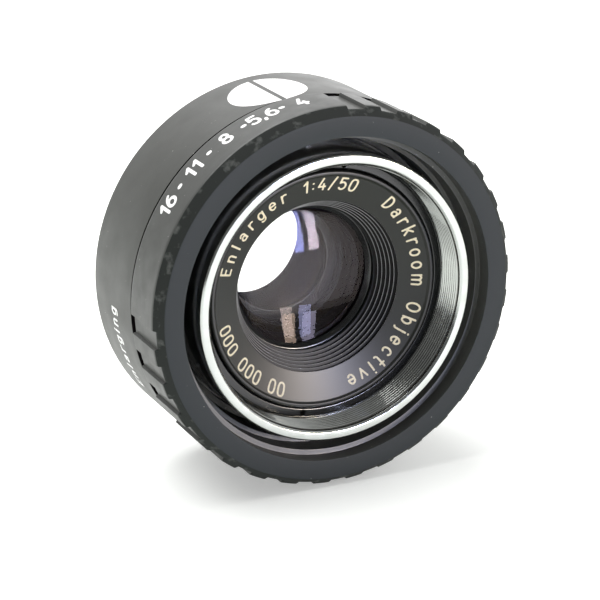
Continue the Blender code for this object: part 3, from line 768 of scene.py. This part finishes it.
class BUILD_OT_aperture_ring(bpy.types.Operator):
    """Grip ring: its outline carried round and cut back to the flutes.

    What lies past the largest radius that the flutes leave is pressed to 2% of its height.
    """
    bl_idname = "enlarger_lens.aperture_ring"
    bl_label = "Aperture ring"

    def execute(self, context):
        sizes = context.scene.lens_sizes
        depth, radius = ring_outline(sizes.corner / MM).T
        columns = flute_columns()
        cap = flute_cap(columns, sizes.flute_depth / MM)[None, :]
        radius = np.broadcast_to(radius[:, None], (len(depth), len(columns)))
        over = radius > cap
        radius = np.where(over, cap + 0.02 * (radius - cap), radius)
        angle = np.radians(columns)[None, :]
        ring = sharpen(swept("grip_ring", depth[:, None], radius, angle), 35)
        give(ring, ring_finish(), "aperture_control", "ring_plastic", "aperture_ring")
        paint_where(ring, ring_face_finish(), lambda depth, radius: depth < 0.03)
        # The slope gets a darker black than the rim as painted shade.
        paint_where(ring, ring_chamfer_finish(),
                    lambda depth, radius: (depth >= 0.03) & (depth < 1.2) & (radius > 23.5))
        return {"FINISHED"}


class BUILD_OT_barrel(bpy.types.Operator):
    """Barrel shell: a rounded outline carried round the axis."""
    bl_idname = "enlarger_lens.barrel"
    bl_label = "Barrel"

    def execute(self, context):
        front = RING_END_MM + SEAM_MM
        step = RING_END_MM + GROOVE_MM
        corners = [(front, 23.4), (front, 24.5), (step, 24.5), (step, BARREL_R_MM),
                   (SEAT_MM, BARREL_R_MM), (SEAT_MM, 19.6), (21.4, 19.6), (21.4, 16.05),
                   (20.1, 16.05), (20.1, 23.4)]
        rounding = [0.1, 0.08, 0.05, 0.05, 0.45, 0.1, 0.05, 0.1, 0.1, 0.3]
        outline = soft_loop(corners, rounding, steps=7)
        barrel = sharpen(turned("barrel_shell", outline, 288), 30)
        give(barrel, barrel_finish(), "barrel", "barrel_plastic", "rear_barrel")
        # Painted shade: the wall and floor of the groove at the ring seam are painted matt black.
        paint_where(barrel, matt_black_finish("seam_black"),
                    lambda depth, radius: (depth < step + 0.02) & (radius < BARREL_R_MM - 0.03))
        return {"FINISHED"}


class BUILD_OT_index_mark(bpy.types.Operator):
    """White round index, split by a narrow line along the axis.

    At a height v each half runs from the line to the chord, the root of R^2 - v^2.
    """
    bl_idname = "enlarger_lens.index_mark"
    bl_label = "Index mark"

    def execute(self, context):
        rise = context.scene.lens_sizes.print_height / MM
        rows, columns = 61, 25
        v = INDEX_R_MM * 0.9985 * np.linspace(-1, 1, rows)[:, None]
        across = np.linspace(0, 1, columns)[None, :]
        chord = np.sqrt(INDEX_R_MM ** 2 - v ** 2)
        half = INDEX_LINE_MM + np.maximum(chord - INDEX_LINE_MM, 0.02) * across
        for side, name in ((-1, "index_mark_left"), (1, "index_mark_right")):
            flat = np.stack([side * half, v + 0 * across], axis=-1).reshape(-1, 2)
            plates, quads = thick_plate(flat, grid_quads(rows, columns, False, False))
            points = on_barrel(plates, INDEX_ANGLE, INDEX_DEPTH_MM, BARREL_R_MM, rise)
            lay_print(name, points, quads, print_finish(), "barrel", "barrel_plastic")
        return {"FINISHED"}


class BUILD_OT_aperture_scale(bpy.types.Operator):
    """f-numbers at every stop and a dot at every half stop, on the grip ring."""
    bl_idname = "enlarger_lens.aperture_scale"
    bl_label = "Aperture scale"

    def execute(self, context):
        sizes = context.scene.lens_sizes
        height = sizes.scale_height / MM
        rise = sizes.print_height / MM
        parts = []
        for stop, label in enumerate(("4", "5,6", "8", "11", "16")):
            angle = WIDE_OPEN_ANGLE - stop * STOP_PITCH
            plates, quads = word_plates(label, height, pen=0.50, spacing=0.42, cell=0.08)
            plates[:, 0] *= SCALE_NARROWING
            depth = SCALE_DEPTH_MM - height / 2
            parts.append((on_barrel(plates, angle, depth, RING_R_MM, rise), quads))
        plates, quads = pen_plate([line(-0.06, 0.0, 0.06, 0.0)], pen=0.72, cell=0.08)
        for half in range(4):
            angle = WIDE_OPEN_ANGLE - (half + 0.5) * STOP_PITCH
            parts.append((on_barrel(plates, angle, SCALE_DEPTH_MM, RING_R_MM, rise), quads))
        lay_print("aperture_scale", *join_plates(parts), print_finish(), "aperture_control",
                  "ring_plastic")
        return {"FINISHED"}


class BUILD_OT_barrel_text(bpy.types.Operator):
    """Small generic word on the side of the barrel."""
    bl_idname = "enlarger_lens.barrel_text"
    bl_label = "Barrel text"

    def execute(self, context):
        rise = context.scene.lens_sizes.print_height / MM
        plates, quads = word_plates("Enlarging", 1.75, pen=0.30, spacing=0.62, cell=0.06)
        points = on_barrel(plates, WORD_ANGLE, WORD_DEPTH_MM, BARREL_R_MM, rise)
        lay_print("barrel_word", points, quads, print_finish(), "barrel", "barrel_plastic")
        return {"FINISHED"}


def thread_wave(depth_mm, angle, pitch_mm):
    """Height of a 60-degree thread from 0 at the root to 1 at the crest.

    A triangle wave of depth less the helix's advance, pitch x turns, with its
    crests and roots flattened.
    """
    phase = (depth_mm / pitch_mm - angle / (2 * pi)) % 1.0
    triangle = 1 - np.abs(2 * phase - 1)
    return np.clip((triangle - 0.10) / 0.80, 0, 1)


def threaded_loop(name, outline, thread, pitch_mm, height_mm, steps=256):
    """Carry an outline round, raising a helical thread on one cylinder of it.

    thread = (start depth, end depth, radius, side); side 1 stands the thread out
    of a shaft and -1 stands it into a bore. It fades in over 0.7 of a turn at each end.
    """
    depth, radius = np.asarray(outline).T
    start, end, at_radius, side = thread
    angle = full_turn(steps)[None, :]
    d = depth[:, None]
    on_thread = (np.abs(radius - at_radius) < 0.02)[:, None] & (d >= start) & (d <= end)
    run_in = 0.7 * pitch_mm
    fade = smooth_step((d - start) / run_in) * smooth_step((end - d) / run_in)
    wave = thread_wave(d, angle, pitch_mm) * fade
    r = radius[:, None] + np.where(on_thread, side * height_mm * wave, 0.0)
    item = swept(name, d, r, angle)
    # The stored groove values drive the painted shade in the thread roots.
    mark_grooves(item, np.where(on_thread, 1 - wave, 0.0) + 0 * angle)
    return item


class BUILD_OT_filter_ring(bpy.types.Operator):
    """Bright ring with a helical filter thread in its bore."""
    bl_idname = "enlarger_lens.filter_ring"
    bl_label = "Filter ring"

    def execute(self, context):
        pitch = context.scene.lens_sizes.filter_pitch / MM
        corners = [(RIM_MM, 17.98), (RIM_MM, RIM_R_MM - 0.22), (RIM_MM + 0.2, RIM_R_MM),
                   (10.0, RIM_R_MM), (10.0, 17.1), (7.6, 17.1), (7.6, FILTER_BORE_MM),
                   (RIM_MM + 0.26, FILTER_BORE_MM)]
        loop = soft_loop(corners, [0.05, 0.05, 0.05, 0.1, 0.1, 0.1, 0.05, 0.05])
        loop = fill_gaps(loop, pitch / 10,
                         lambda depth, radius: abs(radius - FILTER_BORE_MM) < 0.02)
        thread = (RIM_MM + 0.3, 7.4, FILTER_BORE_MM, -1)
        ring = sharpen(threaded_loop("filter_thread_ring", loop, thread, pitch, 0.22), 40)
        give(ring, chrome_finish(), "barrel", "bright_chrome", "filter_ring")
        return {"FINISHED"}


class BUILD_OT_mount_ring(bpy.types.Operator):
    """Rear screw mount with a helical thread outside."""
    bl_idname = "enlarger_lens.mount_ring"
    bl_label = "Mount ring"

    def execute(self, context):
        pitch = context.scene.lens_sizes.mount_pitch / MM
        root, end = MOUNT_ROOT_MM, MOUNT_END_MM
        corners = [(MOUNT_MM, 16.05), (MOUNT_MM, root), (end - 0.5, root), (end, root - 0.35),
                   (end, 16.6), (end - 0.55, 16.05)]
        loop = soft_loop(corners, [0.1, 0.05, 0.1, 0.1, 0.1, 0.1])
        loop = fill_gaps(loop, pitch / 14, lambda depth, radius: abs(radius - root) < 0.02)
        thread = (MOUNT_MM + 1.2, end - 0.3, root, 1)
        ring = sharpen(threaded_loop("mount_thread_ring", loop, thread, pitch, 0.55), 40)
        give(ring, mount_finish(), "barrel", "mount_chrome", "mount_ring")
        return {"FINISHED"}


def baffle_outline():
    """Narrow ridges down the cone, as (depth, radius, groove) rows, where the groove value sets a
    painted highlight on the crests and painted shade in the valleys.

    Along the cone the radius is a straight line plus the ridge height times a
    repeating ramp: 0 on the crest, up to 1 in the valley and back.
    """
    share = np.linspace(0, 1, BAFFLE_RIDGES * 16 + 1)
    start, end = np.array(DISH_INNER_MM), np.array(BAFFLE_END_MM)
    depth, radius = (start[:, None] + (end - start)[:, None] * share)
    fold = (share * BAFFLE_RIDGES) % 1.0
    valley = np.interp(fold, [0.0, 0.10, 0.22, 0.80, 1.0], [0.0, 0.0, 1.0, 0.9, 0.0])
    # shade: 0 gives the painted highlight on a crest, 1 the painted shade in a valley.
    shade = np.interp(fold, [0.0, 0.065, 0.12, 0.94, 1.0], [0.0, 0.0, 1.0, 1.0, 0.0])
    shade[[0, -1]] = 0.5
    return np.column_stack([depth, radius + 0.36 * valley, shade])


class BUILD_OT_name_ring(bpy.types.Operator):
    """Dished ring with a rounded lip and the ridged baffle in its cone."""
    bl_idname = "enlarger_lens.name_ring"
    bl_label = "Name ring"

    def execute(self, context):
        corners = [(7.4, 15.9), (4.75, 15.9), (4.6, 15.75), (4.6, 15.45), DISH_OUTER_MM,
                   (5.5, 13.76)]
        lip = soft_loop(corners, [0.1, 0.05, 0.05, 0.05, 0.06, 0.01])[4:20]
        back = np.array([(10.4, 9.9), (10.4, 10.7), (7.4, 12.5), (7.4, 15.9)])
        baffle = baffle_outline()
        outline = np.vstack([lip, baffle[:, :2], back])
        steps = 256
        ring = sharpen(turned("dished_name_ring", outline, steps), 38)
        # The stored shade carries the baffle's painted highlight and painted shade; elsewhere it
        # stays at a plain middle value.
        shade = np.full(len(outline), 0.5)
        shade[len(lip):-len(back)] = baffle[:, 2]
        mark_grooves(ring, np.repeat(shade, steps))
        give(ring, name_ring_finish(), "barrel", "name_ring_black", "name_ring")
        paint_where(ring, baffle_finish(),
                    lambda depth, radius: (depth > DISH_INNER_MM[0] + 0.01) & (radius < 12))
        return {"FINISHED"}


class BUILD_OT_name_lettering(bpy.types.Operator):
    """Cream engraved words round the dish."""
    bl_idname = "enlarger_lens.name_lettering"
    bl_label = "Name ring lettering"

    def execute(self, context):
        sizes = context.scene.lens_sizes
        height = sizes.letter_height / MM
        words = (("Enlarger", -48.0, 0.95), ("1:4/50", 4.6, 0.54),
                 ("Darkroom Objective", 102.0, 0.85), ("00 000 000", -130.0, 0.46))
        parts = []
        for text, angle, spacing in words:
            plates, quads = word_plates(text, height, pen=0.27, spacing=spacing, cell=0.055)
            plates[:, 1] -= height / 2
            parts.append((on_dish(plates, angle, rise_mm=0.008), quads))
        lay_print("name_lettering", *join_plates(parts), letter_finish(), "barrel",
                  "name_ring_black")
        return {"FINISHED"}


class BUILD_OT_retaining_rings(bpy.types.Operator):
    """Black rings that hold the front cell, the front glass and the rear glass."""
    bl_idname = "enlarger_lens.retaining_rings"
    bl_label = "Retaining rings"

    def execute(self, context):
        corners = [(5.25, 16.0), (5.0, 16.25), (5.0, 17.15), (5.25, 17.4), (7.4, 17.4), (7.4, 16.0)]
        outline = soft_loop(corners, [0.05, 0.06, 0.06, 0.05, 0.1, 0.1])
        outline = fill_gaps(outline, 0.06, lambda depth, radius: depth < 5.01)
        depth, radius = outline.T[:, :, None]
        fine = [hole + np.linspace(-2.4, 2.4, 40) for hole in HOLE_ANGLES]
        coarse = np.arange(-180.0, 180.0, 1.6)
        clear = np.all([np.abs(coarse - hole) > 2.6 for hole in HOLE_ANGLES], axis=0)
        angle = np.radians(np.sort(np.concatenate([*fine, coarse[clear]])))[None, :]
        depth = depth + 0 * angle
        for hole in HOLE_ANGLES:
            across = HOLE_CIRCLE_MM * (angle - radians(hole))
            distance = np.hypot(across, radius - HOLE_CIRCLE_MM)
            drop = HOLE_DEPTH_MM * smooth_step((HOLE_R_MM - distance) / 0.10)
            depth = depth + drop * (depth < 5.2)
        front = sharpen(swept("front_lock_ring", depth, radius, angle), 40)
        give(front, gloss_black_finish(), "barrel", "black_anodised", "front_retaining_ring")
        seat = [(10.7, 9.75), (10.7, 10.5), (11.35, 10.5), (11.35, 9.2)]
        lock = [(25.7, 7.9), (25.7, 9.0), (26.4, 9.0), (26.9, 6.2), (26.65, 6.2)]
        cell = [(21.2, 7.0), (21.2, 12.0), (26.6, 12.0), (26.6, 9.1), (25.6, 9.1), (25.6, 8.3),
                (21.7, 8.3), (21.7, 7.0)]
        rings = (
            ("glass_seat_ring", soft_loop(seat, 0.08, steps=5), 192,
             gloss_black_finish("gloss_black_seat"), "element_retaining_ring"),
            ("rear_lock_ring", soft_loop(lock, 0.07, steps=5), 160,
             gloss_black_finish("gloss_black_rear"), "rear_retaining_ring"),
            ("rear_cell_tube", soft_loop(cell, 0.08), 160, bronze_finish(), "rear_cell"),
        )
        for name, outline, steps, finish, node in rings:
            ring = sharpen(turned(name, outline, steps), 40)
            give(ring, finish, "barrel", "cell_black", node)
        return {"FINISHED"}


def lens_surface(vertex_mm, curve_mm, edge_mm, points=24):
    """(depth, radius) along a spherical surface from its vertex to its edge.

    depth = vertex + R - sqrt(R^2 - r^2), mirrored for a surface that bulges to the rear.
    """
    radius = np.linspace(0, edge_mm, points)
    size = abs(curve_mm)
    drop = size - np.sqrt(size ** 2 - radius ** 2)
    return np.column_stack([vertex_mm + np.sign(curve_mm) * drop, radius])


# Further coats of an element: name, tint, shine, and the depths between which each lies.
INNER_COATS = {
    "front_element": (("_outer_coating", (0.62, 0.62, 1.0), 0.17, 0.0, 12.2),
                      ("_inner_coating", (1.0, 0.85, 0.80), 0.40, 12.2, 14.0)),
    "second_element": (("_outer_coating", (0.90, 0.85, 1.0), 0.40, 0.0, 14.4),),
}


class BUILD_OT_glass(bpy.types.Operator):
    """Four polished elements with true spherical surfaces."""
    bl_idname = "enlarger_lens.glass"
    bl_label = "Glass"

    def execute(self, context):
        elements = (
            ("front_glass", "front_element", (9.75, 24.0), (13.1, -180.0), 9.4, (0.62, 0.62, 1.0)),
            ("second_glass", "second_element", (14.25, -80.0), (15.25, 48.0), 9.4,
             (1.0, 0.72, 0.42)),
            ("rear_inner_glass", "rear_inner_element", (22.6, -60.0), (23.5, 22.0), 8.2,
             (0.90, 0.80, 1.0)),
            ("rear_outer_glass", "rear_outer_element", (23.6, 22.0), (26.6, -30.0), 8.2,
             (0.95, 0.85, 0.85)),
        )
        for name, node, front, rear, edge, tint in elements:
            outline = np.vstack([lens_surface(*front, edge), lens_surface(*rear, edge)[::-1]])
            glass = sharpen(turned(name, outline, 144, closed=False), 30)
            weak_coat = glass_finish(name + "_coating", tint, 0.06)
            give(glass, weak_coat, "barrel", "coated_glass", node)
            for suffix, hue, shine, start, end in INNER_COATS.get(node, ()):
                paint_where(glass, glass_finish(name + suffix, hue, shine),
                            lambda depth, radius: (depth >= start) & (depth < end))
            paint_where(glass, matt_black_finish(name + "_edge"),
                        lambda depth, radius: radius > edge - 0.02)
        return {"FINISHED"}


class BUILD_OT_inner_parts(bpy.types.Operator):
    """Finishes for the solids that keep their own shape."""
    bl_idname = "enlarger_lens.inner_parts"
    bl_label = "Inner parts"

    def execute(self, context):
        screws = [f"{kind}_screw_{i}" for kind in ("hub", "barrel") for i in (1, 2, 3)]
        finishes = (
            (matt_black_finish(), ("lens_body", "front_cell", "element_spacer")),
            (bronze_finish(), ("iris_base_plate", "iris_actuator_ring")),
            (gloss_black_finish(), ("aperture_hub",)),
            (steel_finish(), ("drive_screw", "click_ball", "click_spring", *screws)),
            (blade_finish(), [f"iris_blade_{i}" for i in range(1, 6)]),
        )
        for finish, nodes in finishes:
            for node in nodes:
                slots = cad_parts[node].data.materials
                for index in range(len(slots)):
                    slots[index] = finish.material
        return {"FINISHED"}


# ---- stage -----------------------------------------------------------------
BRIGHT_SIDE = (0.62, 0.72, -0.40)                               # towards the brightest sky
WORLD_CURVE = ((0.0, 0.05), (0.35, 0.13), (0.66, 0.28), (1.0, 1.0))  # dim side to bright
WORLD_STRENGTH = 3.6
FLOOR_REACH = 3.0
FLOOR_GAP = 0.00002        # the floor lies this far under the ring
STRIP_ELEVATION = 11.5
STRIPS = (("left_strip", 19.5, 12.0, (0.62, 0.68, 1.0)),        # azimuth, watts, colour
          ("right_strip", 30.5, 14.0, (1.0, 0.86, 0.70)))


def softbox(name, place, aim, width, height, power, colour=(1.0, 1.0, 1.0), diffuse=True):
    """A rectangular area light aimed at a point; strips only show as reflections."""
    data = bpy.data.lights.new(name, "AREA")
    data.shape = "RECTANGLE"
    data.size = width
    data.size_y = height
    data.energy = power
    data.color = colour
    lamp = bpy.data.objects.new(name, data)
    bpy.context.scene.collection.objects.link(lamp)
    lamp.location = place
    lamp.rotation_euler = (aim - place).to_track_quat("-Z", "Y").to_euler()
    lamp.visible_diffuse = diffuse
    return lamp


def direction(azimuth, elevation):
    """Unit vector from the lens towards a viewer at that azimuth and elevation."""
    return Vector((sin(azimuth) * cos(elevation), -cos(azimuth) * cos(elevation), sin(elevation)))


def make_world():
    """White surroundings, brightest behind the lens and dim on the camera's side."""
    world = bpy.data.worlds.new("studio_white")
    world.use_nodes = True
    tree = world.node_tree
    backdrop = tree.nodes["Background"]
    backdrop.inputs["Color"].default_value = (1.0, 1.0, 1.0, 1.0)
    facing = add_node(tree, "VectorMath")
    facing.operation = "DOT_PRODUCT"
    facing.inputs[1].default_value = BRIGHT_SIDE
    tree.links.new(add_node(tree, "TexCoord").outputs["Generated"], facing.inputs[0])
    share = add_node(tree, "MapRange", Value=facing.outputs["Value"], From_Min=-0.96,
                     From_Max=1.02)
    ramp = add_node(tree, "FloatCurve", Value=share.outputs["Result"])
    curve = ramp.mapping.curves[0]
    curve.points[0].location = WORLD_CURVE[0]
    curve.points[1].location = WORLD_CURVE[-1]
    for place in WORLD_CURVE[1:-1]:
        curve.points.new(*place)
    ramp.mapping.update()
    scale = add_node(tree, "Math")
    scale.operation = "MULTIPLY"
    scale.inputs[1].default_value = WORLD_STRENGTH
    tree.links.new(ramp.outputs["Value"], scale.inputs[0])
    tree.links.new(scale.outputs["Value"], backdrop.inputs["Strength"])
    bpy.context.scene.world = world


class BUILD_OT_stage(bpy.types.Operator):
    """Pale floor, soft studio light and the camera."""
    bl_idname = "enlarger_lens.stage"
    bl_label = "Stage"

    def execute(self, context):
        stage = context.scene.stage_settings
        reach = FLOOR_REACH
        low = AXIS.z - RING_R_MM * MM - FLOOR_GAP
        corners = [(-reach, -reach, low), (reach, -reach, low), (reach, reach, low),
                   (-reach, reach, low)]
        mesh = bpy.data.meshes.new("floor")
        mesh.from_pydata(corners, [], [(0, 1, 2, 3)])
        floor = bpy.data.objects.new("floor", mesh)
        context.scene.collection.objects.link(floor)
        paint = Finish("floor_paint", tuple(stage.floor), 0.75, specular=0.1)
        paint.set("Emission Color", (1.0, 1.0, 1.0, 1.0))
        paint.set("Emission Strength", 0.36)
        mesh.materials.append(paint.material)

        face = Vector((0.0, FRONT_Y, AXIS.z))
        make_world()
        softbox("overhead_softbox", face + Vector((-0.15, 0.25, 0.75)), face,
                width=0.9, height=0.7, power=9.0)
        for name, azimuth, power, colour in STRIPS:
            away = direction(radians(azimuth), radians(STRIP_ELEVATION))
            softbox(name, face + away * 0.9, face, width=0.11, height=0.40, power=power,
                    colour=colour, diffuse=False)

        camera_data = bpy.data.cameras.new("camera")
        camera_data.lens = stage.focal
        camera_data.sensor_width = 36.0
        camera = bpy.data.objects.new("camera", camera_data)
        context.scene.collection.objects.link(camera)
        away = direction(stage.azimuth, stage.elevation)
        camera.location = face + away * stage.distance
        aim = face + Vector((-4.6, 2.3, 0.2)) * MM
        camera.rotation_euler = (aim - camera.location).to_track_quat("-Z", "Y").to_euler()
        context.scene.camera = camera
        context.scene.view_settings.view_transform = "Standard"
        return {"FINISHED"}


class VIEW3D_PT_enlarger_lens(bpy.types.Panel):
    """Buttons and settings in the sidebar."""
    bl_label = TAB
    bl_idname = "VIEW3D_PT_enlarger_lens"
    bl_space_type = "VIEW_3D"
    bl_region_type = "UI"
    bl_category = TAB

    def draw(self, context):
        layout = self.layout
        for group in GROUPS:
            settings = getattr(context.scene, group)
            box = layout.box()
            for key in settings.__annotations__:
                box.prop(settings, key)
        for operator in BUILDERS:
            layout.operator(operator.bl_idname)


BUILDERS = (
    BUILD_OT_stage, BUILD_OT_aperture_ring, BUILD_OT_barrel, BUILD_OT_index_mark,
    BUILD_OT_aperture_scale, BUILD_OT_barrel_text, BUILD_OT_filter_ring, BUILD_OT_mount_ring,
    BUILD_OT_name_ring, BUILD_OT_name_lettering, BUILD_OT_retaining_rings, BUILD_OT_glass,
    BUILD_OT_inner_parts,
)
GROUPS = {"lens_sizes": LensSizes, "lens_colours": LensColours, "stage_settings": StageSettings}
CLASSES = (*GROUPS.values(), *BUILDERS, VIEW3D_PT_enlarger_lens)


def register():
    for item in CLASSES:
        bpy.utils.register_class(item)
    for key, group in GROUPS.items():
        setattr(bpy.types.Scene, key, bpy.props.PointerProperty(type=group))


def unregister():
    for key in GROUPS:
        delattr(bpy.types.Scene, key)
    for item in reversed(CLASSES):
        bpy.utils.unregister_class(item)


def main():
    """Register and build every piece."""
    register()
    bpy.ops.enlarger_lens.stage()
    bpy.ops.enlarger_lens.aperture_ring()
    bpy.ops.enlarger_lens.barrel()
    bpy.ops.enlarger_lens.index_mark()
    bpy.ops.enlarger_lens.aperture_scale()
    bpy.ops.enlarger_lens.barrel_text()
    bpy.ops.enlarger_lens.filter_ring()
    bpy.ops.enlarger_lens.mount_ring()
    bpy.ops.enlarger_lens.name_ring()
    bpy.ops.enlarger_lens.name_lettering()
    bpy.ops.enlarger_lens.retaining_rings()
    bpy.ops.enlarger_lens.glass()
    bpy.ops.enlarger_lens.inner_parts()


if __name__ == "__main__":
    main()
